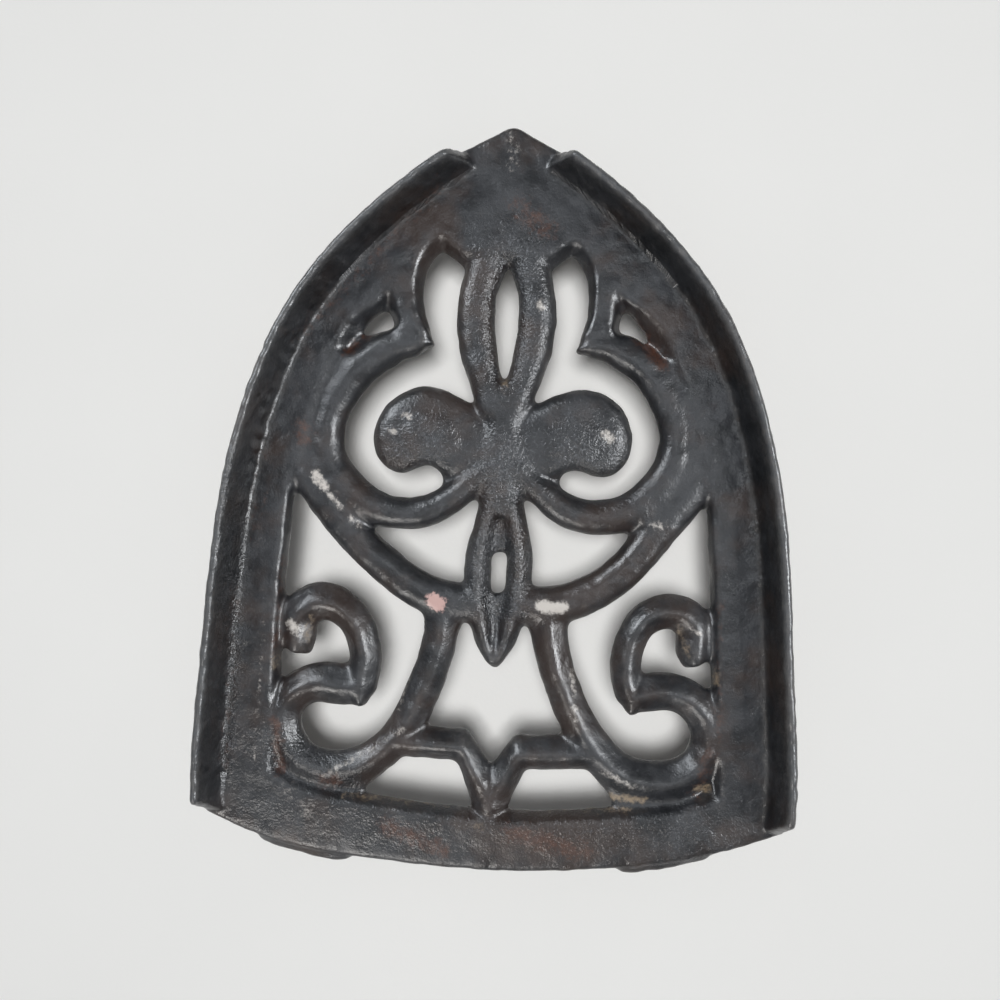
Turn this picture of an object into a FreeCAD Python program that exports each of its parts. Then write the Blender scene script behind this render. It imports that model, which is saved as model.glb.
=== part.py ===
import FreeCAD, Part
import math
import os
from BOPTools import SplitAPI

os.makedirs("parts", exist_ok=True)

# Cast-iron stand for a flat iron, in millimetres.  +Z is up, +Y points to the nose and the
# origin lies on the table under the middle of the stand.  The real stand is one casting.
# It is split here into named members that meet face to face.

PLATE_THICK = 5.0
FOOT_HEIGHT = 17.0
RAIL_HEIGHT = 10.0
UNDERSIDE = FOOT_HEIGHT
PLATE_TOP = UNDERSIDE + PLATE_THICK
RAIL_RAKE = 4.5          # length of the sloped end of a rail
RAIL_END_X = 62.6
HEEL_RAIL_END = {"left": -69.6, "right": -67.9}    # where a rail meets the plate at the heel
NOSE_TIP = 80.0
NOSE_ROUND = 2.6         # half-width of the rounded tip
OUTER_BEVEL = 0.6        # draft of the plate edge, underside to top
STEPS_PER_SPAN = 2       # loft sections between two listed stations of a member
KNEE = 0.5               # height of a member's knee, as a share of the plate thickness
RIDGE_HALF = 0.5         # half-width of the flat left on top of a member

# Section of a rail: distance in from the plate's lower outer edge, and height above the plate.
RAIL_PROFILE = [(0.62, 0.0), (0.8, 8.2), (1.05, 9.4), (1.6, 10.0), (2.3, 10.0), (2.85, 9.2),
                (4.1, 1.6), (4.9, 0.0)]
# Side edge of the plate from a rail's nose end to just above the heel corner (mirrored in X).
SIDE_EDGE = [(10.2, 74.6), (19.8, 68.0), (34.4, 55.0), (45.8, 40.0), (53.6, 22.0),
             (58.1, 4.0), (60.5, -16.0), (62.0, -38.0), (63.0, -64.0)]
# Bowed heel edge, from the right corner to the slightly lower left corner.
HEEL_EDGE = [(62.8, -68.4), (50.0, -73.2), (30.0, -77.6), (0.0, -80.0), (-30.0, -78.6), (-50.0, -75.2),
             (-62.8, -70.2)]

# Window in the plate, clockwise from the left shoulder.  Each span is a smooth curve, and
# the third number is how far the edge is bevelled back at the top.
WINDOW = [
    [(-45.5, -0.8, 0.4), (-42.6, 5.0, 2.2), (-39.6, 14.0, 2.4), (-38.0, 22.0, 2.2), (-34.6, 30.0, 2.8),
     (-31.2, 35.8, 3.0), (-26.8, 40.4, 1.0)],
    [(-26.8, 40.4, 1.0), (-26.0, 37.8, 2.2), (-25.4, 34.5, 1.4)],
    [(-25.4, 34.5, 1.4), (-16.0, 34.4, 0.4)],
    [(-16.0, 34.4, 0.4), (-17.6, 39.4, 1.2), (-18.3, 44.0, 1.5), (-17.3, 49.8, 2.2), (-14.4, 53.4, 2.8)],
    [(-14.4, 53.4, 2.8), (-10.0, 50.2, 2.0)],
    [(-10.0, 50.2, 2.0), (0.0, 50.4, 2.2), (9.2, 49.8, 2.0)],
    [(9.2, 49.8, 2.0), (13.5, 52.9, 2.6)],
    [(13.5, 52.9, 2.6), (16.2, 49.4, 2.0), (17.3, 43.6, 1.4), (17.0, 39.0, 1.2), (15.4, 34.4, 0.4)],
    [(15.4, 34.4, 0.4), (24.0, 34.6, 1.4)],
    [(24.0, 34.6, 1.4), (24.5, 37.6, 2.2), (25.6, 41.4, 1.0)],
    [(25.6, 41.4, 1.0), (29.6, 36.4, 3.0), (33.4, 30.0, 2.8), (37.0, 22.0, 2.2), (38.8, 14.0, 2.4),
     (41.6, 5.0, 2.2), (44.3, -0.8, 0.4)],
    [(44.3, -0.8, 0.4), (44.7, -9.0, 0.7), (45.6, -21.0, 0.9), (46.3, -37.0, 0.9), (46.8, -50.0, 1.2),
     (47.0, -60.6, 2.0)],
    [(47.0, -60.6, 2.0), (36.0, -63.8, 1.6), (24.0, -65.6, 1.3), (0.0, -67.2, 1.6), (-20.0, -65.9, 1.3),
     (-36.0, -63.6, 1.6), (-46.4, -59.8, 2.0)],
    [(-46.4, -59.8, 2.0), (-47.0, -46.0, 1.4), (-47.1, -34.0, 0.9), (-46.6, -20.0, 0.8), (-46.0, -9.0, 0.4),
     (-45.5, -0.8, 0.4)],
]

# Openwork members: stations (x, y, half-width) along the middle of each one.
STROKES = {
    "left_canopy": [(-15.2, 33.1, 1.3), (-21.5, 33.1, 3.3), (-26.2, 31.8, 4.2), (-31.5, 27.9, 4.4),
                    (-35.9, 22.0, 4.2), (-38.4, 14.6, 3.9), (-37.8, 8.0, 4.0), (-34.4, 2.4, 4.4),
                    (-29.0, -1.9, 4.1), (-22.6, -3.6, 3.7), (-16.2, -3.0, 3.7), (-11.3, -0.4, 3.5),
                    (-7.0, 3.2, 3.3), (-2.5, 7.5, 3.2)],
    "right_canopy": [(14.8, 32.2, 1.2), (20.6, 33.5, 3.0), (25.6, 32.3, 4.2), (30.9, 28.3, 4.0),
                     (35.1, 22.0, 4.0), (37.2, 14.6, 3.9), (36.2, 8.0, 4.1), (32.7, 2.3, 4.5),
                     (27.0, -1.9, 4.2), (20.8, -3.1, 4.0), (15.0, -2.2, 3.9), (10.2, 0.8, 3.5),
                     (6.2, 4.2, 3.3), (2.3, 7.8, 3.2)],
    "left_swag": [(-43.5, 5.0, 4.0), (-38.2, -1.2, 4.3), (-33.9, -6.5, 4.3), (-29.6, -11.0, 4.1),
                  (-23.4, -16.1, 4.2), (-17.0, -20.2, 4.4), (-11.0, -22.2, 4.6), (-5.0, -22.4, 4.4)],
    "right_swag": [(42.8, 5.0, 4.0), (37.0, -1.4, 4.5), (32.5, -7.4, 4.4), (28.6, -12.6, 4.2),
                   (23.0, -17.6, 4.2), (17.0, -21.0, 4.3), (11.0, -22.5, 4.5), (5.0, -22.5, 4.4)],
    "left_leg": [(-11.6, -23.2, 5.2), (-12.0, -29.0, 4.1), (-13.5, -36.2, 4.0), (-15.8, -42.6, 4.1),
                 (-18.6, -49.0, 4.1), (-22.7, -54.5, 4.1), (-28.2, -58.6, 4.2), (-34.6, -60.2, 4.3),
                 (-40.7, -58.9, 4.3), (-45.1, -54.5, 4.2), (-46.2, -49.0, 4.2), (-43.8, -44.0, 4.3),
                 (-38.8, -41.5, 4.7), (-33.6, -41.6, 4.9), (-29.6, -42.2, 4.2)],
    "right_leg": [(11.0, -23.4, 5.2), (11.5, -29.0, 4.2), (13.4, -36.5, 4.0), (16.0, -43.0, 4.1),
                  (19.3, -49.2, 4.2), (23.6, -54.6, 4.3), (29.0, -58.3, 4.4), (35.1, -59.3, 4.6),
                  (41.1, -58.0, 4.5), (45.2, -53.8, 4.2), (46.2, -48.3, 4.1), (44.0, -43.1, 4.2),
                  (39.5, -40.2, 4.2), (34.4, -40.0, 4.4), (30.2, -41.5, 4.0)],
    "left_hook": [(-28.6, -46.0, 1.6), (-29.2, -42.6, 3.6), (-28.5, -36.8, 3.8), (-29.3, -31.2, 3.8),
                  (-31.4, -27.0, 3.9), (-34.9, -24.3, 4.3), (-39.4, -23.7, 4.6), (-43.0, -26.4, 4.4),
                  (-43.4, -31.2, 4.3), (-43.5, -35.0, 3.2)],
    "right_hook": [(29.2, -45.0, 1.6), (29.6, -41.8, 3.5), (28.2, -36.8, 3.6), (28.5, -31.2, 3.6),
                   (30.5, -26.2, 3.6), (34.4, -23.1, 3.9), (39.2, -22.9, 4.1), (42.6, -26.0, 4.3),
                   (42.6, -30.4, 4.3), (42.8, -34.0, 3.2)],
    "left_crown": [(-2.4, 18.0, 3.4), (-4.2, 25.4, 3.8), (-6.0, 32.0, 4.3), (-6.8, 39.0, 4.5),
                   (-6.3, 45.5, 4.3), (-4.9, 50.6, 4.6), (-4.6, 57.0, 4.6)],
    "right_crown": [(2.2, 18.0, 3.4), (3.9, 25.4, 3.8), (5.7, 32.0, 4.3), (6.5, 39.0, 4.4),
                    (6.0, 45.3, 4.2), (4.6, 50.6, 4.5), (4.4, 57.0, 4.6)],
    "left_pendant": [(-1.8, 2.0, 2.6), (-3.0, -5.0, 2.7), (-4.3, -11.5, 3.1), (-4.5, -18.0, 3.2),
                     (-3.9, -24.0, 3.0), (-2.5, -30.0, 2.6), (-0.7, -35.4, 1.5)],
    "right_pendant": [(1.8, 2.0, 2.6), (3.3, -5.0, 2.8), (4.4, -11.5, 3.1), (4.4, -18.0, 3.1),
                      (3.5, -24.0, 2.9), (2.1, -30.0, 2.5), (0.2, -35.4, 1.5)],
    "boss": [(0.0, 25.0, 4.2), (0.0, 18.0, 5.2), (0.0, 10.5, 7.5), (0.0, 4.0, 6.0), (0.0, -3.5, 4.4)],
}

ROUNDED = ("left_canopy", "right_canopy", "left_swag", "right_swag", "left_crown", "right_crown", "boss")

# Straight-sided members: pairs of points facing each other across the member at its mitred corners.
FACETED = {
    "left_sill": [((-22.0, -49.6), (-22.0, -56.8)), ((-5.3, -49.8), (-7.6, -57.3)),
                  ((5.0, -65.4), (-3.2, -69.0))],
    "right_sill": [((22.0, -49.9), (21.6, -57.6)), ((4.5, -50.5), (7.4, -58.5)),
                   ((-5.0, -64.7), (2.6, -69.0))],
}

# Outlines of the two domed lobes, run into the boss at x = 0.
LOBES = {
    "left_lobe": [(-5.0, 19.4), (-10.6, 22.7), (-16.4, 24.4), (-22.4, 22.9), (-27.0, 18.4), (-28.7, 12.0),
                  (-26.8, 7.2), (-21.8, 4.9), (-16.2, 6.8), (-12.4, 4.8), (-4.0, 5.0), (0.0, 12.0)],
    "right_lobe": [(5.0, 19.8), (10.0, 22.8), (16.4, 24.6), (22.2, 23.4), (26.6, 19.2), (28.1, 13.2),
                   (26.4, 8.0), (21.4, 5.3), (15.4, 6.7), (11.8, 5.0), (4.0, 5.2), (0.0, 12.0)],
}
# Height (share of the plate thickness) and scale of the outlines stacked into a dome.
DOME = [(-0.1, 0.985), (0.36, 0.97), (0.66, 0.89), (0.87, 0.71), (1.0, 0.36)]

# Metal between members, as the depth of its top below the plate's top and its outline: low webs of
# flash in tight corners, and nearly full ones where the canopies run into the border.
LOW = PLATE_THICK - 2.2
WEBS = {
    "pendant_top": (LOW, [(-2.5, -2.0), (2.5, -2.0), (3.4, -9.0), (0.0, -12.0), (-3.4, -9.0)]),
    "pendant_end": (LOW, [(-3.4, -22.5), (0.0, -19.8), (3.4, -22.5), (2.0, -31.0), (-2.0, -31.0)]),
    "left_heel": (LOW, [(-20.8, -58.2), (-28.0, -59.5), (-36.0, -61.5), (-37.0, -65.5), (-29.4, -65.6),
                        (-25.4, -62.2)]),
    "right_heel": (LOW, [(21.4, -58.4), (28.0, -59.5), (36.0, -61.5), (37.0, -65.5), (27.4, -65.8),
                         (24.5, -61.6)]),
    "left_curl": (LOW, [(-13.2, 5.4), (-12.6, 2.6), (-8.0, 1.0), (-8.0, 7.5)]),
    "right_curl": (LOW, [(12.8, 5.6), (12.6, 3.2), (8.0, 1.0), (8.0, 7.5)]),
    "pendant_tip": (1.8, [(-3.0, -32.5), (3.0, -32.5), (0.1, -37.2)]),
    "left_groove": (0.6, [(-33.2, 30.0), (-35.9, 22.0), (-38.4, 14.6), (-38.4, 8.0), (-45.0, 7.0),
                          (-44.0, 14.0), (-41.6, 23.0), (-37.2, 31.6)]),
    "left_shoulder": (0.5, [(-41.5, 9.5), (-38.0, 8.0), (-34.4, 2.4), (-30.0, -1.5), (-31.2, -6.0),
                            (-33.9, -6.5), (-38.2, -1.2), (-43.5, 4.0), (-45.0, 7.0)]),
    "left_funnel": (LOW, [(-33.0, 33.2), (-30.9, 34.75), (-25.3, 36.5), (-24.2, 34.2), (-30.0, 31.0)]),
    "right_groove": (0.6, [(32.6, 30.2), (35.1, 22.0), (41.0, 22.5), (37.6, 31.4)]),
    "right_shoulder": (0.3, [(35.1, 24.0), (37.2, 14.6), (36.4, 8.0), (32.7, 2.3), (29.0, -0.6),
                             (30.6, -5.4), (32.5, -7.4), (37.0, -1.4), (42.8, 4.0), (44.2, 7.0),
                             (43.5, 14.0), (40.8, 23.0)]),
}

# The small three-cornered openings beside the crown: corners at the underside and at the top.
FUNNELS = [
    ([(-31.1, 34.7), (-26.7, 39.8), (-25.0, 36.6)], [(-33.0, 34.6), (-25.0, 44.8), (-22.4, 36.4)]),
    ([(30.2, 34.9), (24.5, 37.0), (25.6, 41.0)], [(31.6, 34.4), (22.4, 36.5), (22.9, 45.6)]),
]

# Saw cuts between members, seen from above.  A cut runs straight from point to point.
CUTS = [
    [(-66.0, 60.0), (-42.0, 51.0), (-27.4, 38.4)],
    [(66.0, 60.0), (42.0, 51.0), (26.4, 39.0)],
    [(-27.4, 38.4), (-34.0, 33.2), (-37.4, 27.6), (-40.0, 21.0), (-41.3, 13.0), (-43.0, 6.0),
     (-45.0, 1.6), (-44.4, -2.4)],
    [(26.4, 39.0), (32.6, 33.4), (36.4, 26.6), (38.8, 20.0), (40.3, 13.0), (42.0, 6.0),
     (43.8, 1.4), (43.4, -2.4)],
    [(-27.4, 38.4), (-24.2, 36.2), (-14.0, 36.4)],
    [(26.4, 39.0), (23.2, 36.2), (14.0, 36.4)],
    [(-13.0, 50.9), (13.0, 50.9)],
    [(-46.5, -4.0), (-37.5, 2.0), (-31.0, 6.4)],
    [(46.0, -4.0), (36.6, 2.0), (30.0, 6.4)],
    [(-37.5, 2.0), (-25.4, -8.0)],
    [(36.6, 2.0), (25.8, -7.8)],
    [(-7.2, 21.8), (-9.2, 12.0), (-9.2, 3.8), (-5.4, -1.8), (5.6, -1.8), (9.2, 3.8), (9.2, 12.0),
     (7.0, 21.8), (-7.2, 21.8)],
    [(-9.2, 3.8), (-14.0, 4.4)],
    [(9.2, 3.8), (13.0, 5.0)],
    [(-7.9, -14.0), (-7.1, -29.0)],
    [(8.0, -14.0), (6.6, -27.8)],
    [(-18.0, -27.3), (-7.1, -29.0)],
    [(17.5, -27.3), (6.6, -27.8)],
    [(-13.2, -49.4), (-25.0, -43.8)],
    [(12.2, -50.0), (27.0, -44.4)],
    [(-13.2, -49.4), (-20.2, -58.8)],
    [(12.2, -50.0), (20.2, -59.4)],
    [(-26.6, -48.5), (-33.4, -35.0)],
    [(27.2, -48.0), (33.4, -34.6)],
    [(-45.8, -16.0), (-46.8, -37.0), (-47.4, -61.0), (-36.0, -64.0), (-27.0, -64.2)],
    [(44.7, -16.0), (45.7, -37.0), (48.0, -61.5), (36.0, -64.2), (26.4, -64.4)],
    [(-8.0, -65.4), (-5.0, -67.8), (5.0, -67.8), (7.5, -65.4)],
    [(-70.0, -61.0), (-47.3, -61.0)],
    [(70.0, -61.5), (48.0, -61.5)],
]

# One point inside each member, used to name the pieces after the cuts.
MEMBERS = {
    "nose_plate": (0.0, 66.0), "left_side_bar": (-52.0, -10.0), "right_side_bar": (51.0, -10.0),
    "heel_bar": (0.0, -74.0), "crown_loop": (-7.0, 40.0), "centre_boss": (0.0, 10.0),
    "left_canopy_scroll": (-38.0, 14.0), "right_canopy_scroll": (37.0, 14.0),
    "left_lobe": (-19.0, 14.0), "right_lobe": (17.6, 12.2),
    "left_inner_scroll": (-20.0, -3.6), "right_inner_scroll": (20.0, -3.2),
    "left_swag": (-26.0, -14.0), "right_swag": (26.0, -15.0), "pendant": (-4.5, -16.0),
    "left_leg": (-13.5, -36.0), "right_leg": (13.4, -36.0),
    "left_hook_scroll": (-28.6, -36.0), "right_hook_scroll": (28.4, -36.0),
    "left_foot_scroll": (-34.6, -60.0), "right_foot_scroll": (35.0, -59.0),
    "sill_bar": (-10.0, -54.0),
}

FEET = {"nose_foot": (0.0, 66.0), "left_heel_foot": (-52.0, -67.6), "right_heel_foot": (52.0, -66.8)}
FOOT_TOP_RADIUS = 5.2
FOOT_END_RADIUS = 3.8
FOOT_END_ROUND = 1.2

# Broken feeder stubs left on the heel edge, seen from above.
GATES = {
    "left_gate_stub": [(-50.6, -74.0), (-50.2, -76.3), (-45.0, -77.9), (-39.0, -79.1), (-33.6, -79.9),
                       (-30.4, -79.6), (-29.6, -77.6)],
    "right_gate_stub": [(47.4, -73.0), (46.9, -75.2), (42.0, -76.4), (36.5, -77.9), (31.0, -78.9),
                        (28.2, -78.9), (27.6, -77.0)],
}
GATE_LOW = 17.9
GATE_HIGH = 20.7


def vec(x, y, z=0.0):
    return FreeCAD.Vector(x, y, z)


def curve(points, z):
    """A straight or smooth edge through a list of (x, y) points at one height."""
    places = [vec(p[0], p[1], z) for p in points]
    if len(places) == 2:
        return Part.LineSegment(places[0], places[1]).toShape()
    spline = Part.BSplineCurve()
    spline.interpolate(places)
    return spline.toShape()


def plate_edge(inset, z):
    """The outer outline of the plate, moved inwards by its draft."""
    right = [(x - inset, y) for x, y in SIDE_EDGE]
    left = [(-x, y) for x, y in right]
    heel = [(x, y + inset) for x, y in HEEL_EDGE]
    heel[0] = (heel[0][0] - inset, heel[0][1])
    heel[-1] = (heel[-1][0] + inset, heel[-1][1])
    tip = NOSE_TIP - inset
    shoulder = tip - 1.1
    nose = Part.Arc(vec(-NOSE_ROUND, shoulder, z), vec(0, tip, z), vec(NOSE_ROUND, shoulder, z)).toShape()
    return Part.Wire([
        nose,
        curve([(NOSE_ROUND, shoulder), right[0]], z),
        curve(right, z),
        curve([right[-1], heel[0]], z),
        curve(heel, z),
        curve([heel[-1], left[-1]], z),
        curve(left[::-1], z),
        curve([left[0], (-NOSE_ROUND, shoulder)], z),
    ])


def window_edge(bevelled, z):
    """The window outline, either as it is or moved back by its bevel."""
    ring = [p for span in WINDOW for p in span[:-1]]
    moved = {}
    for i, (x, y, bevel) in enumerate(ring):
        ax, ay, _ = ring[i - 1]
        bx, by, _ = ring[(i + 1) % len(ring)]
        dx, dy = bx - ax, by - ay
        size = math.hypot(dx, dy)
        shift = bevel if bevelled else 0.0
        moved[(x, y)] = (x - dy / size * shift, y + dx / size * shift)
    return Part.Wire([curve([moved[(p[0], p[1])] for p in span], z) for span in WINDOW])


def outside():
    """The solid inside the plate's drafted outer edge."""
    return Part.makeLoft([plate_edge(0.0, UNDERSIDE), plate_edge(OUTER_BEVEL, PLATE_TOP)], True, True)


def plate():
    """The border plate with its bevelled window."""
    window = Part.makeLoft([window_edge(False, UNDERSIDE - 1), window_edge(False, UNDERSIDE + 1.5),
                            window_edge(True, PLATE_TOP + 0.01)], True, True)
    return outside().cut(window)


def stations(listed):
    """Evenly spaced (place, direction, half-width) along a member's middle line."""
    spline = Part.BSplineCurve()
    spline.interpolate([vec(x, y) for x, y, _ in listed])
    marks = [spline.parameter(vec(x, y)) for x, y, _ in listed]
    found = []
    for i in range(len(listed) - 1):
        for k in range(STEPS_PER_SPAN):
            share = k / STEPS_PER_SPAN
            mark = marks[i] + (marks[i + 1] - marks[i]) * share
            width = listed[i][2] + (listed[i + 1][2] - listed[i][2]) * share
            found.append((spline.value(mark), spline.tangent(mark)[0], width))
    found.append((spline.value(marks[-1]), spline.tangent(marks[-1])[0], listed[-1][2]))
    return found


def section(place, along, half, rounded=False):
    """The section of a member, arched or ridged like a roof, reaching past the plate above and below."""
    side = vec(-along.y, along.x)
    low = UNDERSIDE - 0.8
    knee = UNDERSIDE + KNEE * PLATE_THICK
    peak = PLATE_TOP + 0.1
    flank = [(half + 0.1, low), (half - 0.4, knee)]
    if rounded:
        flank += [(0.74 * half, PLATE_TOP - 1.1), (0.45 * half, PLATE_TOP - 0.25), (0.2 * half, peak)]
    else:
        flank += [(min(RIDGE_HALF, 0.4 * half), peak)]
    profile = [(-s, z) for s, z in flank] + flank[::-1]
    ring = [place + side * s + vec(0, 0, z) for s, z in profile]
    return Part.makePolygon(ring + ring[:1])


def stroke(name):
    rounded = name in ROUNDED
    return Part.makeLoft([section(*s, rounded) for s in stations(STROKES[name])], True, False)


def faceted(pairs):
    """A member with straight runs, mitred where it turns."""
    rings = []
    for (ax, ay), (bx, by) in pairs:
        across = vec(ax - bx, ay - by)
        rings.append(section(vec((ax + bx) / 2, (ay + by) / 2), vec(across.y, -across.x).normalize(),
                             across.Length / 2))
    return Part.makeLoft(rings, True, True)


def lobe(outline):
    """A domed lobe stacked from shrinking copies of its outline."""
    cx = sum(x for x, _ in outline) / len(outline)
    cy = sum(y for _, y in outline) / len(outline)
    rings = []
    for share, scale in DOME:
        spline = Part.BSplineCurve()
        places = [vec(cx + (x - cx) * scale, cy + (y - cy) * scale, UNDERSIDE + share * PLATE_THICK)
                  for x, y in outline]
        spline.interpolate(places, PeriodicFlag=True)
        rings.append(Part.Wire([spline.toShape()]))
    return Part.makeLoft(rings, True, False)


def prism(outline, low, high):
    """An upright block on a straight-sided outline."""
    ring = [vec(x, y, low) for x, y in outline]
    return Part.Face(Part.makePolygon(ring + ring[:1])).extrude(vec(0, 0, high - low))


def funnel(low, high):
    """The wedge-shaped hole whose corners are given at the underside and at the top."""
    rings = []
    for corners, z in ((low, UNDERSIDE - 0.1), (high, PLATE_TOP + 0.1)):
        ring = [vec(x, y, z) for x, y in corners]
        rings.append(Part.makePolygon(ring + ring[:1]))
    return Part.makeLoft(rings, True, True)


def casting():
    """Plate, openwork, lobes and webs in one body, trimmed level above and below."""
    openwork = [stroke(name) for name in STROKES]
    openwork += [faceted(pairs) for pairs in FACETED.values()]
    openwork += [lobe(outline) for outline in LOBES.values()]
    openwork += [prism(outline, UNDERSIDE - 0.5, PLATE_TOP - depth) for depth, outline in WEBS.values()]
    body = plate().multiFuse(openwork)
    body = body.cut([funnel(low, high) for low, high in FUNNELS])
    return body.common(Part.makeBox(200, 200, PLATE_THICK, vec(-100, -100, UNDERSIDE)))


def cut_face(line):
    """An upright face standing on a line drawn from above."""
    corners = [vec(x, y, UNDERSIDE - 5) for x, y in line]
    return Part.makePolygon(corners).extrude(vec(0, 0, PLATE_THICK + 10))


def members(body):
    """The casting sawn into its members, each under its own name."""
    pieces = SplitAPI.slice(body, [cut_face(line) for line in CUTS], "Split", 0.0).Solids
    named = {}
    for piece in pieces:
        found = [n for n, (x, y) in MEMBERS.items() if piece.isInside(vec(x, y, UNDERSIDE + 2), 1e-3, True)]
        if len(found) != 1:
            print("UNCLEAR", found, round(piece.Volume, 2), piece.CenterOfMass)
        for name in found:
            named[name] = piece
    return named


def rake(x, y, dx, dy):
    """The wedge taken off a rail so that its end slopes up from (x, y) towards (dx, dy)."""
    along = vec(dx, dy).normalize()
    side = vec(-along.y, along.x)
    profile = [(-9.0, 0.0), (0.0, 0.0), (RAIL_RAKE * 1.2, RAIL_HEIGHT * 1.2), (-9.0, RAIL_HEIGHT * 1.2)]
    ring = [vec(x, y, PLATE_TOP + z) + along * s - side * 12 for s, z in profile]
    return Part.Face(Part.makePolygon(ring + ring[:1])).extrude(side * 24)


def rail(hand):
    """One upstanding side rail, drafted both ways, with a rounded top and sloped ends."""
    listed = [(x, y, 1.0) for x, y in SIDE_EDGE] + [(RAIL_END_X, HEEL_RAIL_END[hand], 1.0)]
    rings = []
    for place, along, _ in stations(listed):
        inward = vec(along.y, -along.x)
        ring = [place + inward * s + vec(0, 0, PLATE_TOP + z) for s, z in RAIL_PROFILE]
        rings.append(Part.makePolygon(ring + ring[:1]))
    body = Part.makeLoft(rings, True, False)
    if hand == "left":
        body = body.mirror(vec(0, 0), vec(1, 0))
    flip = -1 if hand == "left" else 1
    body = body.cut(rake(flip * 10.2, 74.6, flip * 9.6, -6.6))
    return body.cut(rake(flip * 62.0, HEEL_RAIL_END[hand], 0.0, 1.0))


def marked(piece, rails):
    """A member with the rails' outlines on its top, so that the seat between them is a face of its own."""
    _, images = piece.generalFuse(rails)
    return images[0][0]


def foot(x, y):
    """A tapered foot with a rounded end."""
    body = Part.makeCone(FOOT_END_RADIUS, FOOT_TOP_RADIUS, FOOT_HEIGHT, vec(x, y, 0))
    rim = [e for e in body.Edges if e.BoundBox.ZMax < 0.01]
    return body.makeFillet(FOOT_END_ROUND, rim)


def gate_stub(outline):
    """A broken feeder stub on the heel edge."""
    return prism(outline, GATE_LOW, GATE_HIGH).cut(outside())


def save(name, shape):
    if shape.ShapeType != "Solid":
        shape = shape.Solids[0]
    box = shape.BoundBox
    print(name, shape.isValid(), round(shape.Volume, 1), [round(v, 2) for v in
          (box.XMin, box.XMax, box.YMin, box.YMax, box.ZMin, box.ZMax)])
    shape.exportStep("parts/" + name + ".step")


rails = {hand + "_rail": rail(hand) for hand in ("left", "right")}
named = members(casting())
named["nose_plate"] = marked(named["nose_plate"], list(rails.values()))
for name, piece in (named | rails).items():
    save(name, piece)
for name, (x, y) in FEET.items():
    save(name, foot(x, y))
for name, outline in GATES.items():
    save(name, gate_stub(outline))
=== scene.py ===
import math

import bpy
import numpy as np
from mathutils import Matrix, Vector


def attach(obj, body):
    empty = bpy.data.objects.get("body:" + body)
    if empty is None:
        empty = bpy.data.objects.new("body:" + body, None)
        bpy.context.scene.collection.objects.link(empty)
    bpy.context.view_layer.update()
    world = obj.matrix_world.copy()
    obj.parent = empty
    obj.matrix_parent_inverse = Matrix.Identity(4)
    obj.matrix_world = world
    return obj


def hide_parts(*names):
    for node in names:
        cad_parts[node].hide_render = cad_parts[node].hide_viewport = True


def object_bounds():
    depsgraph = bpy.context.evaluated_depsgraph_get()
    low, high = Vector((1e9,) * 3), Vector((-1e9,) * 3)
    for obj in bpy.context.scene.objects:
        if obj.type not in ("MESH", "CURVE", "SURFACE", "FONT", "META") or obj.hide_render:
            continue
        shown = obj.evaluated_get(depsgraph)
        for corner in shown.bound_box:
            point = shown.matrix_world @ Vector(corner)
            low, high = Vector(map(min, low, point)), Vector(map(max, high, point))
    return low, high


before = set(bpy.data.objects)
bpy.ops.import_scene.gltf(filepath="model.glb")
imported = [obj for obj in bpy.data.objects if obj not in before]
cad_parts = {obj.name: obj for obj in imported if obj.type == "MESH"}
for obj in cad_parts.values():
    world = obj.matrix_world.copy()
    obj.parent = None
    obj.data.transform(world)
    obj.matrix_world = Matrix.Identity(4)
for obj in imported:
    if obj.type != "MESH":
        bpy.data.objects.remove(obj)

import openvdb as vdb
from mathutils import Matrix, Vector
from mathutils.geometry import tessellate_polygon

CAD_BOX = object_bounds()

# Cast-iron stand for a flat iron.  The CAD members are melted into one rounded casting with
# the lumps of a sand mould, and the casting is cut again into one piece for each member.
# Sizes are in millimetres unless a name says otherwise.

UNDERSIDE = 17.0
PLATE_TOP = 22.0
VOXEL = 0.36
MARGIN = 9                    # empty voxels kept round the object
SOFT_EDGE = 0.75              # rounding of the openwork's edges and corners
CRISP_EDGE = 0.55             # rounding of the rails' and the plate's outer edges
CAVITY_BLUR = 2.0             # reach of the painted shade and the dirt in hollows, and of the wear on ridges
LUMPS = [(1.4, 0.08), (5.0, 0.012), (14.0, 0.020)]   # mould lumps: size, and strength in the field
RAIL_SEAM = PLATE_TOP + 0.7   # level where a rail's piece starts
FOOT_SEAM = UNDERSIDE - 0.7   # level where a foot's piece starts
SEAM_REACH = 1.0              # how far a cut runs on past its listed ends
SNAP = 0.08                   # vertices nearer to a cut than this are moved onto it
CUT_ZONE = 3.0                # only vertices this near to an upright cut are looked at
RIM_LEVEL = UNDERSIDE + 0.7   # splits a wall's open rim into an upper and a lower chain
FLAT_CAP = 0.3                # an open end with less height than this is closed as a flat face
INSIDE = 0.3                  # how far inside the plate a face's member is looked up
RAIL_REACH = 2.5              # how far the rails' crisper edges reach into the plate
RAIL_WEIGHT = 8.0             # how soon the crisper edges take over near a rail
SEED = 5                      # of the mould's lumps

# Lengths in voxels.
BAND = 4                      # depth of the level set kept on each side of a member's skin
FAR = 9.0                     # more than the band: the distance where no member is near
CLEAR = 1.6                   # how far off a cut a face's member is looked up
SLOPE_STEP = 0.8              # half the distance over which the skin's slope is taken

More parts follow.
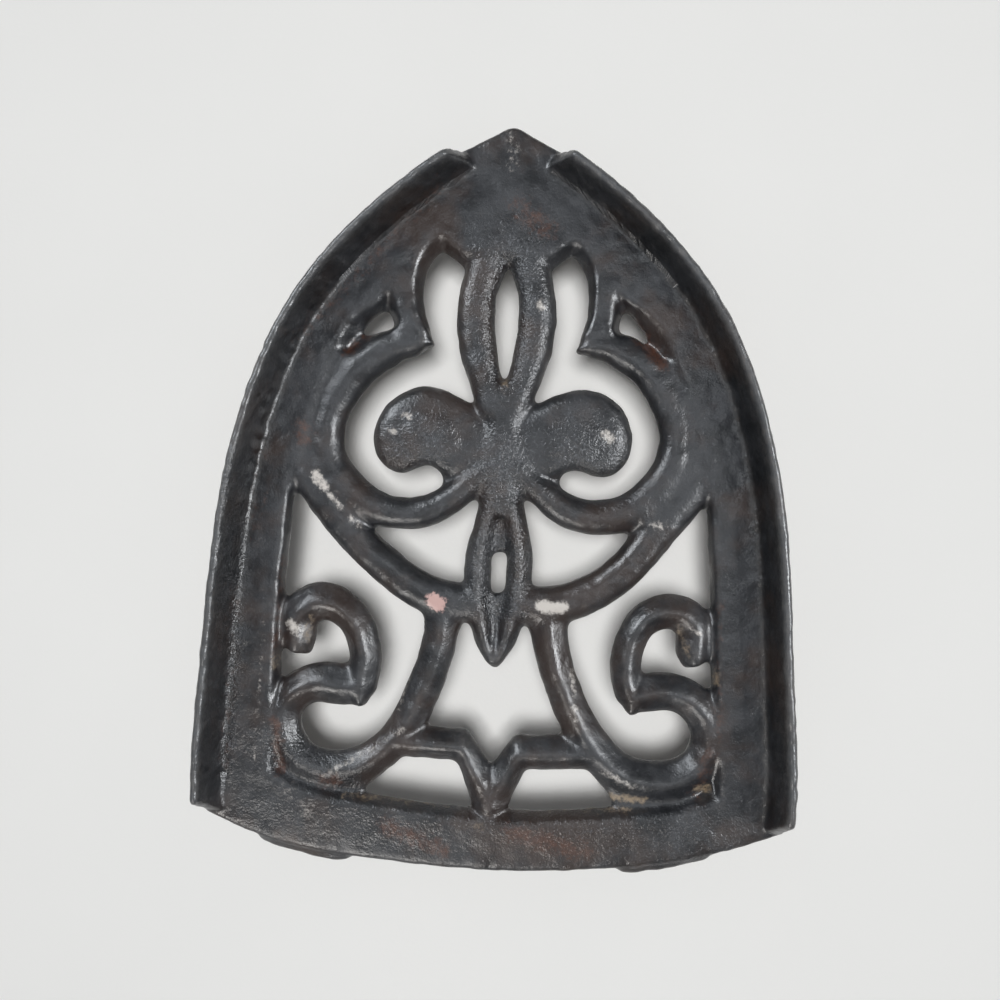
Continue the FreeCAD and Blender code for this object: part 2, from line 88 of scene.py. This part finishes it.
# The saw cuts between members, seen from above, as in the CAD model.
CUTS = [
    [(-66.0, 60.0), (-42.0, 51.0), (-27.4, 38.4)],
    [(66.0, 60.0), (42.0, 51.0), (26.4, 39.0)],
    [(-27.4, 38.4), (-34.0, 33.2), (-37.4, 27.6), (-40.0, 21.0), (-41.3, 13.0), (-43.0, 6.0),
     (-45.0, 1.6), (-44.4, -2.4)],
    [(26.4, 39.0), (32.6, 33.4), (36.4, 26.6), (38.8, 20.0), (40.3, 13.0), (42.0, 6.0),
     (43.8, 1.4), (43.4, -2.4)],
    [(-27.4, 38.4), (-24.2, 36.2), (-14.0, 36.4)],
    [(26.4, 39.0), (23.2, 36.2), (14.0, 36.4)],
    [(-13.0, 50.9), (13.0, 50.9)],
    [(-46.5, -4.0), (-37.5, 2.0), (-31.0, 6.4)],
    [(46.0, -4.0), (36.6, 2.0), (30.0, 6.4)],
    [(-37.5, 2.0), (-25.4, -8.0)],
    [(36.6, 2.0), (25.8, -7.8)],
    [(-7.2, 21.8), (-9.2, 12.0), (-9.2, 3.8), (-5.4, -1.8), (5.6, -1.8), (9.2, 3.8), (9.2, 12.0),
     (7.0, 21.8), (-7.2, 21.8)],
    [(-9.2, 3.8), (-14.0, 4.4)],
    [(9.2, 3.8), (13.0, 5.0)],
    [(-7.9, -14.0), (-7.1, -29.0)],
    [(8.0, -14.0), (6.6, -27.8)],
    [(-18.0, -27.3), (-7.1, -29.0)],
    [(17.5, -27.3), (6.6, -27.8)],
    [(-13.2, -49.4), (-25.0, -43.8)],
    [(12.2, -50.0), (27.0, -44.4)],
    [(-13.2, -49.4), (-20.2, -58.8)],
    [(12.2, -50.0), (20.2, -59.4)],
    [(-26.6, -48.5), (-33.4, -35.0)],
    [(27.2, -48.0), (33.4, -34.6)],
    [(-45.8, -16.0), (-46.8, -37.0), (-47.4, -61.0), (-36.0, -64.0), (-27.0, -64.2)],
    [(44.7, -16.0), (45.7, -37.0), (48.0, -61.5), (36.0, -64.2), (26.4, -64.4)],
    [(-8.0, -65.4), (-5.0, -67.8), (5.0, -67.8), (7.5, -65.4)],
    [(-70.0, -61.0), (-47.3, -61.0)],
    [(70.0, -61.5), (48.0, -61.5)],
]
RAISED = ("left_rail", "right_rail")
FEET = ("nose_foot", "left_heel_foot", "right_heel_foot")
STUBS = ("left_gate_stub", "right_gate_stub")

TABLE_HALF = 1.6              # metres
CAMERA_PLACE = (0.012, 0.002, 0.200)    # metres, from the middle of the plate's top
CAMERA_TURN = -2.0            # degrees
CAMERA_LENS = 33.876          # millimetres, on a 36 mm sensor


# ---------------------------------------------------------------- the casting as a field

def node_mesh(node):
    """Vertices in millimetres and triangles of a CAD node."""
    mesh = node.data
    mesh.calc_loop_triangles()
    places = np.empty(len(mesh.vertices) * 3, np.float32)
    mesh.vertices.foreach_get("co", places)
    corners = np.empty(len(mesh.loop_triangles) * 3, np.int32)
    mesh.loop_triangles.foreach_get("vertices", corners)
    return places.reshape(-1, 3) * 1000.0, corners.reshape(-1, 3).astype(np.uint32)


def blur(field, sigma):
    """A Gaussian blur along each axis in turn, sigma in voxels."""
    reach = int(3 * sigma + 1)
    weights = np.exp(-0.5 * (np.arange(reach + 1) / sigma) ** 2)
    weights /= weights[0] + 2 * weights[1:].sum()
    for axis in range(3):
        field = np.moveaxis(field, axis, 0)
        smooth = field * np.float32(weights[0])
        for k in range(1, reach + 1):
            weight = np.float32(weights[k])
            smooth[k:] += weight * field[:-k]
            smooth[:-k] += weight * field[k:]
        field = np.moveaxis(smooth, 0, axis)
    return np.ascontiguousarray(field)


def sample(field, places):
    """Values of a field at places given in voxels, blended between the eight nearest voxels."""
    places = np.clip(places, 0, np.array(field.shape) - 1.001)
    low = places.astype(np.int32)
    share = (places - low).astype(np.float32)
    total = np.zeros(len(places), np.float32)
    for i in (0, 1):
        for j in (0, 1):
            for k in (0, 1):
                part = np.abs(1 - i - share[:, 0]) * np.abs(1 - j - share[:, 1])
                part = part * np.abs(1 - k - share[:, 2])
                total += part * field[low[:, 0] + i, low[:, 1] + j, low[:, 2] + k]
    return total


def lumps(shape, rng):
    """The unevenness of a sand mould, as blocks of noise of several sizes."""
    total = np.zeros(shape, np.float32)
    for size, strength in LUMPS:
        step = max(2, round(size / VOXEL))
        coarse = rng.normal(0.0, strength, [n // step + 2 for n in shape]).astype(np.float32)
        if step > 6:
            coarse = blur(coarse, 0.6)
        for axis in range(3):
            coarse = np.repeat(coarse, step, axis=axis)
        total += coarse[:shape[0], :shape[1], :shape[2]]
    return total


def fields(nodes):
    """The blurred occupancy of the casting, the number of the flat member nearest to each voxel, and
    where voxel zero lies."""
    low, high = (np.array(corner) * 1000.0 for corner in CAD_BOX)
    start = low - MARGIN * VOXEL
    shape = tuple(np.ceil((high - low) / VOXEL).astype(int) + 2 * MARGIN)
    solid = np.zeros(shape, np.float32)
    rails = np.zeros(shape, np.float32)
    nearest = np.full(shape, FAR, np.float32)
    member = np.full(shape, -1, np.int8)
    flat = [name for name in sorted(nodes) if name not in RAISED + FEET + STUBS]
    for name in sorted(nodes):
        places, corners = node_mesh(nodes[name])
        places = ((places - start) / VOXEL).astype(np.float32)
        grid = vdb.FloatGrid.createLevelSetFromPolygons(places, triangles=corners, halfWidth=float(BAND))
        first = np.floor(places.min(0)).astype(int) - BAND
        last = np.ceil(places.max(0)).astype(int) + BAND + 1
        depth = np.zeros(last - first, np.float32)
        grid.copyToArray(depth, ijk=tuple(int(v) for v in first))
        part = tuple(slice(a, b) for a, b in zip(first, last))
        solid[part] += np.clip(0.5 - depth, 0.0, 1.0)
        if name in RAISED:
            rails[part] += np.clip(0.5 - depth, 0.0, 1.0)
        if name in flat:
            closer = depth < nearest[part]
            nearest[part][closer] = depth[closer]
            member[part][closer] = flat.index(name)
    solid = np.minimum(solid, 1.0) + lumps(shape, np.random.default_rng(SEED))
    crisp = np.clip(blur(rails, RAIL_REACH / VOXEL) * RAIL_WEIGHT, 0.0, 1.0)
    solid = blur(solid, SOFT_EDGE / VOXEL) * (1.0 - crisp) + blur(solid, CRISP_EDGE / VOXEL) * crisp
    return solid, member, flat, start


# ---------------------------------------------------------------- cutting it into pieces

def saw(places, faces, offset, within):
    """Splits every edge that crosses a cut, so that no face lies on both sides of it.  offset is each
    vertex's distance from the cut, and within says which vertices the cut reaches."""
    near = within & (np.abs(offset) < SNAP)
    side = np.where(near, 0, np.sign(offset)).astype(np.int8)
    edges = np.sort(np.stack([faces, np.roll(faces, -1, axis=1)], axis=2).reshape(-1, 2), axis=1)
    crossing = (side[edges[:, 0]] * side[edges[:, 1]] < 0) & within[edges[:, 0]] & within[edges[:, 1]]
    if not crossing.any():
        return places, faces
    split, which = np.unique(edges[crossing], axis=0, return_inverse=True)
    share = offset[split[:, 0]] / (offset[split[:, 0]] - offset[split[:, 1]])
    fresh = places[split[:, 0]] + (places[split[:, 1]] - places[split[:, 0]]) * share[:, None]
    middle = np.full(len(edges), -1)
    middle[crossing] = len(places) + which.reshape(-1)
    middle = middle.reshape(-1, 3)
    count = (middle >= 0).sum(axis=1)
    kept = [faces[count == 0]]
    for k in range(3):
        a, b, c = (faces[:, (k + i) % 3] for i in range(3))
        ab, _, ca = (middle[:, (k + i) % 3] for i in range(3))
        one = (count == 1) & (ab >= 0)
        kept += [np.stack(t, axis=1)[one] for t in ((a, ab, c), (ab, b, c))]
        two = (count == 2) & (ab >= 0) & (ca >= 0)
        kept += [np.stack(t, axis=1)[two] for t in ((a, ab, ca), (ab, b, c), (ab, c, ca))]
    return np.vstack([places, fresh]), np.vstack(kept)


def upright(places, a, b):
    """Distance of each place from the upright plane through a and b, and whether the cut reaches it."""
    ax, ay = a
    dx, dy = b[0] - ax, b[1] - ay
    size = math.hypot(dx, dy)
    dx, dy = dx / size, dy / size
    along = (places[:, 0] - ax) * dx + (places[:, 1] - ay) * dy
    offset = (places[:, 1] - ay) * dx - (places[:, 0] - ax) * dy
    within = (along > -SEAM_REACH) & (along < size + SEAM_REACH) & (np.abs(offset) < CUT_ZONE)
    within &= (places[:, 2] > FOOT_SEAM - 0.1) & (places[:, 2] < RAIL_SEAM + 0.1)
    return offset, within, (-dy, dx)


def segments():
    """Each straight stretch of the upright cuts, as a pair of ends."""
    for line in CUTS:
        yield from zip(line, line[1:])


def snap(places, offset, within, normal, locked):
    """Moves the vertices nearest to a cut onto it, unless another cut already holds them."""
    near = within & (np.abs(offset) < SNAP) & ~locked
    for axis, share in enumerate(normal):
        places[near, axis] -= offset[near] * share
    locked |= near
    offset[near] = 0.0


def cut_up(places, faces):
    """The casting's skin, split along every cut."""
    for level in (RAIL_SEAM, FOOT_SEAM):
        offset = places[:, 2] - level
        places, faces = saw(places, faces, offset, np.ones(len(places), bool))
    locked = np.zeros(len(places), bool)
    for a, b in segments():
        offset, within, normal = upright(places, a, b)
        snap(places, offset, within, normal, locked)
        places, faces = saw(places, faces, offset, within)
        locked = np.concatenate([locked, np.ones(len(places) - len(locked), bool)])
    return places, faces


def owners(places, faces, member, flat, start):
    """The name of the piece that each face belongs to, as a list of names and a number per face."""
    names = flat + list(RAISED) + list(FEET)
    middle = places[faces].mean(axis=1)
    moved = middle.copy()
    clear = CLEAR * VOXEL
    for a, b in segments():
        offset, within, normal = upright(middle, a, b)
        push = np.where(within & (np.abs(offset) < clear), np.sign(offset) * clear - offset, 0.0)
        moved[:, 0] += push * normal[0]
        moved[:, 1] += push * normal[1]
    moved[:, 2] = np.clip(moved[:, 2], UNDERSIDE + INSIDE, PLATE_TOP - INSIDE)
    voxel = np.round((moved - start) / VOXEL).astype(int)
    owner = member[voxel[:, 0], voxel[:, 1], voxel[:, 2]].astype(int)
    x, y, z = middle.T
    rail = z > RAIL_SEAM
    owner[rail] = np.where(x[rail] < 0, names.index("left_rail"), names.index("right_rail"))
    foot = z < FOOT_SEAM
    heel = np.where(x < 0, names.index("left_heel_foot"), names.index("right_heel_foot"))
    owner[foot] = np.where(y[foot] > 0, names.index("nose_foot"), heel[foot])
    return names, owner


# ---------------------------------------------------------------- closing each piece

def open_loops(faces):
    """The closed chains of edges round a piece's open ends, in the direction that a cap needs."""
    edges = np.stack([faces, np.roll(faces, -1, axis=1)], axis=2).reshape(-1, 2).astype(np.int64)
    size = int(faces.max()) + 1
    forward = edges[:, 0] * size + edges[:, 1]
    backward = edges[:, 1] * size + edges[:, 0]
    rim = edges[~np.isin(forward, backward)]
    following = {}
    for a, b in rim:
        following.setdefault(int(b), []).append(int(a))
    loops = []
    while following:
        start = next(iter(following))
        loop = [start]
        while True:
            choices = following.get(loop[-1])
            if not choices:
                break
            step = choices.pop()
            if not choices:
                del following[loop[-1]]
            if step == start:
                break
            loop.append(step)
        loops.append(loop)
    return loops


def ribbon(loop, places):
    """Triangles across a wall: its upper and lower rims are zipped together."""
    upper = places[loop, 2] > RIM_LEVEL
    turns = [i for i in range(len(loop)) if upper[i] != upper[i - 1]]
    if len(turns) != 2:
        return None
    first = loop[turns[0]:turns[1]]
    second = (loop[turns[1]:] + loop[:turns[0]])[::-1]
    marks = []
    for chain in (first, second):
        steps = np.linalg.norm(np.diff(places[chain][:, :2], axis=0), axis=1)
        run = np.concatenate([[0.0], np.cumsum(steps)])
        marks.append(run / max(run[-1], 1e-6))
    i = j = 0
    triangles = []
    while i < len(first) - 1 or j < len(second) - 1:
        if j == len(second) - 1 or (i < len(first) - 1 and marks[0][i + 1] < marks[1][j + 1]):
            triangles.append((first[i], first[i + 1], second[j]))
            i += 1
        else:
            triangles.append((first[i], second[j + 1], second[j]))
            j += 1
    return triangles


def caps(loop, places):
    """Triangles that close one open loop."""
    if np.ptp(places[loop, 2]) > FLAT_CAP:
        wall = ribbon(loop, places)
        if wall is not None:
            return wall
    found = tessellate_polygon([[Vector(places[i]) for i in loop]])
    triangles = [tuple(loop[i] for i in t) for t in found]
    normal = np.zeros(3)
    for i, k in enumerate(loop):
        normal += np.cross(places[loop[i - 1]], places[k])
    a, b, c = (places[i] for i in triangles[0])
    if np.dot(np.cross(b - a, c - a), normal) < 0:
        triangles = [t[::-1] for t in triangles]
    return triangles


def add_marks(mesh, places, cavity):
    """Stores the hollowness of each vertex (for painted shade and dirt in hollows, and wear on ridges), the
    marks of age with some painted glints, and the height of each vertex for the material.
    """
    values = {"cavity": cavity.astype(np.float32), "rust": streaks(RUST, places), "tan": streaks(TAN, places),
              "bare_and_glint": streaks(BARE_AND_GLINTS, places), "pink": streaks(PINK, places), "coarse": streaks(COARSE, places),
              "height": (places[:, 2] - UNDERSIDE).astype(np.float32)}
    for kind, numbers in values.items():
        mesh.attributes.new(kind, "FLOAT", "POINT").data.foreach_set("value", numbers)


def add_normals(mesh, places, faces, normals, skin):
    """Smooth normals for the first faces, which are the casting's skin, and flat ones for the cut ends."""
    corner = normals[faces]
    a, b, c = (places[faces[skin:, k]] for k in range(3))
    flat = np.cross(b - a, c - a)
    flat /= np.maximum(np.linalg.norm(flat, axis=1), 1e-9)[:, None]
    corner[skin:] = flat[:, None, :]
    mesh.normals_split_custom_set(corner.reshape(-1, 3).astype(np.float32))


def build_piece(name, places, faces, normals, cavity):
    """A mesh object for one member, with its open ends closed."""
    used, faces = np.unique(faces, return_inverse=True)
    faces = faces.reshape(-1, 3)
    places, normals, cavity = places[used], normals[used], cavity[used]
    closing = [t for loop in open_loops(faces) if len(loop) > 2 for t in caps(loop, places)]
    skin = len(faces)
    if closing:
        faces = np.vstack([faces, np.array(closing)])
    mesh = bpy.data.meshes.new(name)
    mesh.vertices.add(len(places))
    mesh.vertices.foreach_set("co", (places * 0.001).astype(np.float32).ravel())
    mesh.loops.add(faces.size)
    mesh.loops.foreach_set("vertex_index", faces.astype(np.int32).ravel())
    mesh.polygons.add(len(faces))
    mesh.polygons.foreach_set("loop_start", np.arange(0, faces.size, 3, dtype=np.int32))
    mesh.update(calc_edges=True)
    add_marks(mesh, places, cavity)
    add_normals(mesh, places, faces, normals, skin)
    piece = bpy.data.objects.new(name, mesh)
    bpy.context.scene.collection.objects.link(piece)
    return piece


def skin_of(solid, start):
    """The casting's whole skin as outward triangles, in millimetres."""
    grid = vdb.FloatGrid()
    grid.copyFromArray(-solid)
    voxels, quads = grid.convertToQuads(isovalue=-0.5)
    faces = np.vstack([quads[:, [0, 1, 2]], quads[:, [0, 2, 3]]]).astype(np.int64)
    places = voxels.astype(np.float64) * VOXEL + start
    a, b, c = (places[faces[:, k]] for k in range(3))
    if np.einsum("ij,ij->i", a, np.cross(b, c)).sum() < 0:
        faces = faces[:, ::-1]
    return places, faces


def outward(solid, voxels):
    """The smooth outward direction of the casting's skin at places given in voxels."""
    slope = []
    for axis in range(3):
        step = np.eye(3)[axis] * SLOPE_STEP
        slope.append(sample(solid, voxels - step) - sample(solid, voxels + step))
    normals = np.stack(slope, axis=1)
    return normals / np.maximum(np.linalg.norm(normals, axis=1), 1e-9)[:, None]


def make_pieces(nodes):
    """One piece for each member, cut from the melted casting."""
    solid, member, flat, start = fields(nodes)
    places, faces = skin_of(solid, start)
    places, faces = cut_up(places, faces)
    voxels = (places - start) / VOXEL
    normals = outward(solid, voxels)
    wide = blur(solid[::2, ::2, ::2], CAVITY_BLUR / VOXEL / 2)
    cavity = sample(wide, voxels / 2)
    names, owner = owners(places, faces, member, flat, start)
    pieces = {}
    for number, name in enumerate(names):
        part = faces[owner == number]
        pieces[name] = build_piece("iron_" + name, places, part, normals, cavity)
    return pieces


# ---------------------------------------------------------------- marks of age

# Each mark is a streak from one place to another: (x0, y0, x1, y1, reach, strength).
RUST = [
    (-15, 66, -45, 33, 2.2, 0.5), (2, 62, 8, 58, 4.0, 0.7), (-43, 14, -43, 12, 3.0, 0.8),
    (27, 38, 33, 30, 2.2, 1.0), (-28, 37, -34, 31, 2.2, 0.7), (-22, -71, -10, -75, 3.0, 0.8),
    (5, -71, 20, -74, 3.5, 0.8), (-47, -50, -46, -60, 2.0, 0.8), (-36, -62, -34, -62, 2.5, 0.8),
    (46, -52, 44, -61, 2.5, 0.7), (-47, -14, -48, -36, 1.2, 0.6), (47, -20, 48, -50, 1.6, 0.5),
    (50, 30, 57, 4, 4.0, 0.35), (-51, 8, -53, -10, 4.0, 0.35), (-57, -20, -58, -60, 3.0, 0.4),
]
TAN = [
    (44, -60, 46, -60, 1.6, 1.0), (26, -63, 33, -63, 1.3, 1.0), (-48, -38, -48, -36, 1.3, 0.8),
    (47, -37, 47, -35, 1.3, 0.8), (-32, -65.3, -8, -66.6, 0.9, 0.7), (8, -66.6, 30, -65.2, 0.9, 0.7),
    (-3, -70, -2, -70, 2.0, 0.6), (-40.5, -27, -41, -32, 1.4, 0.7), (39, -26, 41, -31, 1.4, 0.7),
    (-27, 38.5, -27, 37, 1.2, 0.7), (25.5, 38, 26, 39, 1.2, 0.7), (0, 26, 0, 24, 1.6, 0.7),
]
# Chips of bare metal, and painted highlights: the glints on the lobes' outer sides; also a lighter patch at
# the nose tip.
BARE_AND_GLINTS = [
    (-40, 4, -38, 1.5, 1.5, 0.95), (-37, 0, -34, -3, 1.0, 0.7), (-32, -5, -30, -7, 1.0, 0.55),
    (9.6, -22.3, 14.0, -22.4, 1.4, 1.3),
    (-44.4, -28.5, -43, -29.5, 1.6, 0.9), (-21, 17.5, -20, 17, 1.1, 0.7), (-24, 14, -23.4, 14, 0.9, 0.8),
    (7, 42, 7.2, 41, 1.2, 0.6), (32, -4.5, 35, -4, 1.8, 0.45), (-36, -61, -19, -50, 0.9, 0.5),
    (24, -57, 30, -60, 1.3, 0.6), (16.6, -36, 17.6, -46, 0.9, 0.6), (41.5, -25.5, 43, -26.5, 1.0, 0.6),
    (-44, -64, -36, -73, 2.5, 0.4), (-50, -25, -51.5, -58, 0.8, 0.35), (22, 14.6, 23, 13.6, 1.5, 0.8),
    (-16.5, -30, -20.5, -46, 0.8, 0.5), (0, 78, 0, 72, 3.5, 0.35),
]
PINK = [(-13.6, -22, -12.6, -22.6, 1.9, 1.2)]
COARSE = [(0, 8, 0, -20, 8, 1.0), (-16, 12, -22, 6, 7, 0.8), (16, 12, 22, 6, 7, 0.8), (0, 50, 0, 28, 8, 0.8),
          (-56, 10, -57, -60, 1.6, 0.8), (-48, -55, -30, -62, 6, 0.5), (50, -70, -50, -70, 6, 0.4)]


def streaks(marks, places):
    """How strongly a list of marks covers each place, seen from above."""
    cover = np.zeros(len(places), np.float32)
    for ax, ay, bx, by, reach, strength in marks:
        dx, dy = bx - ax, by - ay
        share = ((places[:, 0] - ax) * dx + (places[:, 1] - ay) * dy) / (dx * dx + dy * dy)
        share = np.clip(share, 0.0, 1.0)
        away = np.hypot(places[:, 0] - ax - share * dx, places[:, 1] - ay - share * dy)
        cover = np.maximum(cover, strength * np.exp(-(away / reach) ** 2))
    return cover


# ---------------------------------------------------------------- materials

class Nodes:
    """Short calls for building the node tree of a material."""

    def __init__(self, name):
        self.material = bpy.data.materials.new(name)
        self.material.use_nodes = True
        self.tree = self.material.node_tree
        self.shader = self.tree.nodes["Principled BSDF"]
        self.place = self.add("ShaderNodeTexCoord").outputs["Object"]

    def add(self, kind, inputs=None, **settings):
        node = self.tree.nodes.new(kind)
        for name, value in settings.items():
            setattr(node, name, value)
        for name, value in (inputs or {}).items():
            if isinstance(value, bpy.types.NodeSocket):
                self.tree.links.new(value, node.inputs[name])
            else:
                node.inputs[name].default_value = value
        return node

    def attribute(self, name):
        return self.add("ShaderNodeAttribute", attribute_name=name).outputs["Fac"]

    def noise(self, size, detail=3.0, rough=0.55, seed=0.0):
        """Cloudy noise whose lumps are about size millimetres across."""
        inputs = {"Vector": self.place, "Scale": 1000.0 / size, "Detail": detail}
        inputs.update({"Roughness": rough, "W": seed})
        return self.add("ShaderNodeTexNoise", inputs, noise_dimensions="4D").outputs["Fac"]

    def math(self, operation, a, b=0.0):
        return self.add("ShaderNodeMath", {0: a, 1: b}, operation=operation).outputs[0]

    def span(self, value, low, high, start=0.0, end=1.0):
        """The value carried smoothly from low..high to start..end."""
        inputs = {"Value": value, "From Min": low, "From Max": high, "To Min": start, "To Max": end}
        return self.add("ShaderNodeMapRange", inputs, interpolation_type="SMOOTHSTEP").outputs["Result"]

    def tint(self, share, below, above):
        """A colour that goes from below to above as share goes from 0 to 1."""
        inputs = {"Factor": share, 6: below, 7: above}
        return self.add("ShaderNodeMix", inputs, data_type="RGBA").outputs[2]

    def bump(self, height, distance):
        """A normal for a relief whose depth is given in millimetres."""
        inputs = {"Height": height, "Distance": distance * 0.001, "Strength": 1.0}
        return self.add("ShaderNodeBump", inputs).outputs["Normal"]

    def feed(self, socket, value):
        """Links a node to the shader's socket, or sets a plain value on it."""
        if isinstance(value, bpy.types.NodeSocket):
            self.tree.links.new(value, self.shader.inputs[socket])
        else:
            self.shader.inputs[socket].default_value = value


def blackened_iron():
    """Satin blue-black cast iron, with sand grain, rust in the hollows and worn ridges, and with painted
    shade in the hollows, painted glints and a painted sheen on the rails' tops.
    """
    n = Nodes("blackened_iron")
    cavity = n.attribute("cavity")
    coarse = n.attribute("coarse")
    height = n.attribute("height")
    grain = n.noise(0.85, detail=2.0, rough=0.75)
    cloud = n.noise(7.0, detail=5.0, rough=0.65, seed=2.0)
    patch = n.noise(22.0, detail=4.0, rough=0.65, seed=4.0)
    speck = n.noise(1.3, detail=4.0, rough=0.8, seed=6.0)
    glint_specks = n.noise(0.6, detail=2.0, rough=0.6, seed=8.0)

    colour = n.tint(n.span(cloud, 0.34, 0.66), (0.008, 0.009, 0.0115, 1), (0.023, 0.025, 0.030, 1))
    colour = n.tint(n.span(patch, 0.45, 0.62, 0.0, 0.9), colour, (0.031, 0.019, 0.015, 1))
    # painted shade: the hollows, where the cavity value is high, are darkened almost to black
    colour = n.tint(n.span(cavity, 0.52, 0.68, 0.0, 0.8), colour, (0.006, 0.006, 0.006, 1))
    hollow = n.math("MULTIPLY", n.span(cavity, 0.58, 0.76), n.span(speck, 0.44, 0.62))
    colour = n.tint(hollow, colour, (0.040, 0.026, 0.018, 1))
    # painted highlight: bluish-white specks of glint on the sand grain, strongest where the grain is coarse
    sparkle = n.math("MULTIPLY", n.span(glint_specks, 0.56, 0.70), n.span(coarse, 0.1, 0.8, 0.25, 1.0))
    colour = n.tint(n.math("MULTIPLY", sparkle, 0.45), colour, (0.16, 0.17, 0.19, 1))
    # painted sheen: the rails' tops, the highest parts above the underside, are lightened
    colour = n.tint(n.span(height, 12.8, 14.6, 0.0, 0.5), colour, (0.085, 0.092, 0.10, 1))

    def stain(colour, cover, tone, low, high):
        """Lays one kind of mark over the colour, broken up by the specks."""
        broken = n.math("ADD", cover, n.math("MULTIPLY", n.math("SUBTRACT", speck, 0.5), 2.2))
        share = n.math("MULTIPLY", n.span(broken, low, high), n.span(cover, 0.05, 0.35))
        return n.tint(share, colour, tone), share

    rim = n.span(height, 1.6, 0.3, 0.0, 0.75)
    colour, _ = stain(colour, rim, (0.15, 0.115, 0.085, 1), 0.35, 1.0)
    colour, _ = stain(colour, n.attribute("rust"), (0.075, 0.032, 0.020, 1), 0.35, 1.2)
    colour, dusty = stain(colour, n.attribute("tan"), (0.26, 0.20, 0.135, 1), 0.45, 1.2)
    ridge = n.math("MULTIPLY", n.span(cavity, 0.42, 0.27), n.span(speck, 0.38, 0.66, 0.05, 1.0))
    colour = n.tint(n.math("MULTIPLY", ridge, 0.40), colour, (0.15, 0.145, 0.14, 1))
    # light grey marks: chips of bare metal together with painted highlights, the glints on the lobes
    colour, _ = stain(colour, n.attribute("bare_and_glint"), (0.58, 0.55, 0.52, 1), 0.35, 1.0)
    colour, _ = stain(colour, n.attribute("pink"), (0.55, 0.36, 0.335, 1), 0.4, 0.8)
    n.feed("Base Color", colour)

    rough = n.span(cloud, 0.30, 0.70, 0.29, 0.45)
    rough = n.math("ADD", rough, n.math("MULTIPLY", hollow, 0.2))
    rough = n.math("ADD", rough, n.math("MULTIPLY", dusty, 0.3))
    n.feed("Roughness", rough)
    n.feed("Specular IOR Level", 1.0)

    strength = n.math("ADD", 0.22, n.math("MULTIPLY", coarse, 0.9))
    n.feed("Normal", n.bump(n.math("MULTIPLY", grain, strength), 0.50))
    return n.material


def pale_table():
    """An off-white, matt table top."""
    n = Nodes("pale_table")
    cloud = n.noise(60.0, detail=3.0)
    n.feed("Base Color", n.tint(cloud, (0.78, 0.785, 0.78, 1), (0.82, 0.825, 0.82, 1)))
    n.feed("Roughness", 0.8)
    n.feed("Specular IOR Level", 0.1)
    n.feed("Normal", n.bump(n.noise(0.8, detail=3.0, seed=3.0), 0.03))
    return n.material


# ---------------------------------------------------------------- stage

def floor():
    """A plain square of table top under the stand."""
    mesh = bpy.data.meshes.new("table")
    half = TABLE_HALF
    corners = [(-half, -half, 0), (half, -half, 0), (half, half, 0), (-half, half, 0)]
    mesh.from_pydata(corners, [], [(0, 1, 2, 3)])
    mesh.materials.append(pale_table())
    table = bpy.data.objects.new("table", mesh)
    bpy.context.scene.collection.objects.link(table)


def soft_light(name, place, size, watts, colour, gloss):
    """A square area light aimed at the stand.  It is either the light that falls on things or
    a lamp that only shows in their gloss, so the two can be balanced apart."""
    light = bpy.data.lights.new(name, "AREA")
    light.size = size
    light.energy = watts
    light.color = colour
    holder = bpy.data.objects.new(name, light)
    holder.visible_glossy = gloss
    holder.visible_diffuse = not gloss
    holder.location = place
    holder.rotation_euler = (-Vector(place)).to_track_quat("-Z", "Y").to_euler()
    bpy.context.scene.collection.objects.link(holder)


def surroundings(low, high):
    """A room that is darker near the horizon than overhead."""
    world = bpy.data.worlds.new("studio")
    world.use_nodes = True
    tree = world.node_tree
    place = tree.nodes.new("ShaderNodeTexCoord")
    parts = tree.nodes.new("ShaderNodeSeparateXYZ")
    climb = tree.nodes.new("ShaderNodeMapRange")
    climb.inputs["To Min"].default_value = low
    climb.inputs["To Max"].default_value = high
    tree.links.new(place.outputs["Generated"], parts.inputs[0])
    tree.links.new(parts.outputs["Z"], climb.inputs["Value"])
    tree.links.new(climb.outputs["Result"], tree.nodes["Background"].inputs["Strength"])
    tree.nodes["Background"].inputs["Color"].default_value = (0.95, 0.975, 1.0, 1)
    bpy.context.scene.world = world


def camera():
    """Looks down on the stand from 20 cm above the plate, turned a little."""
    data = bpy.data.cameras.new("camera")
    data.sensor_width = 36.0
    data.lens = CAMERA_LENS
    data.clip_start = 0.01
    target = Vector((0.0, 0.0, PLATE_TOP * 0.001))
    place = Vector(CAMERA_PLACE) + target
    ahead = (target - place).normalized()
    right = ahead.cross(Vector((0, 1, 0))).normalized()
    up = right.cross(ahead)
    turn = math.radians(CAMERA_TURN)
    across = right * math.cos(turn) - up * math.sin(turn)
    upward = right * math.sin(turn) + up * math.cos(turn)
    eye = bpy.data.objects.new("camera", data)
    eye.matrix_world = Matrix.Translation(place) @ Matrix((across, upward, -ahead)).transposed().to_4x4()
    bpy.context.scene.collection.objects.link(eye)
    bpy.context.scene.camera = eye


iron = blackened_iron()
for member_name, piece in make_pieces(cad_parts).items():
    stubs = STUBS if member_name == "heel_bar" else ()
    piece.data.materials.append(iron)
    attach(piece, "root")
    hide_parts(member_name, *stubs)

floor()
surroundings(0.05, 0.26)
soft_light("ceiling", (0.02, 0.02, 0.95), 0.26, 7.5, (1.0, 0.99, 0.975), gloss=False)
soft_light("overhead_panel", (0.0, 0.05, 0.95), 0.26, 0.45, (0.90, 0.95, 1.0), gloss=True)
soft_light("right_window", (0.62, 0.0, 0.55), 0.30, 5.2, (0.95, 0.975, 1.0), gloss=True)
soft_light("left_window", (-0.55, 0.40, 0.50), 0.36, 3.8, (0.90, 0.95, 1.0), gloss=True)
soft_light("near_window", (-0.25, -0.60, 0.50), 0.30, 2.2, (1.0, 0.97, 0.93), gloss=True)
camera()
bpy.context.scene.view_settings.view_transform = "Standard"
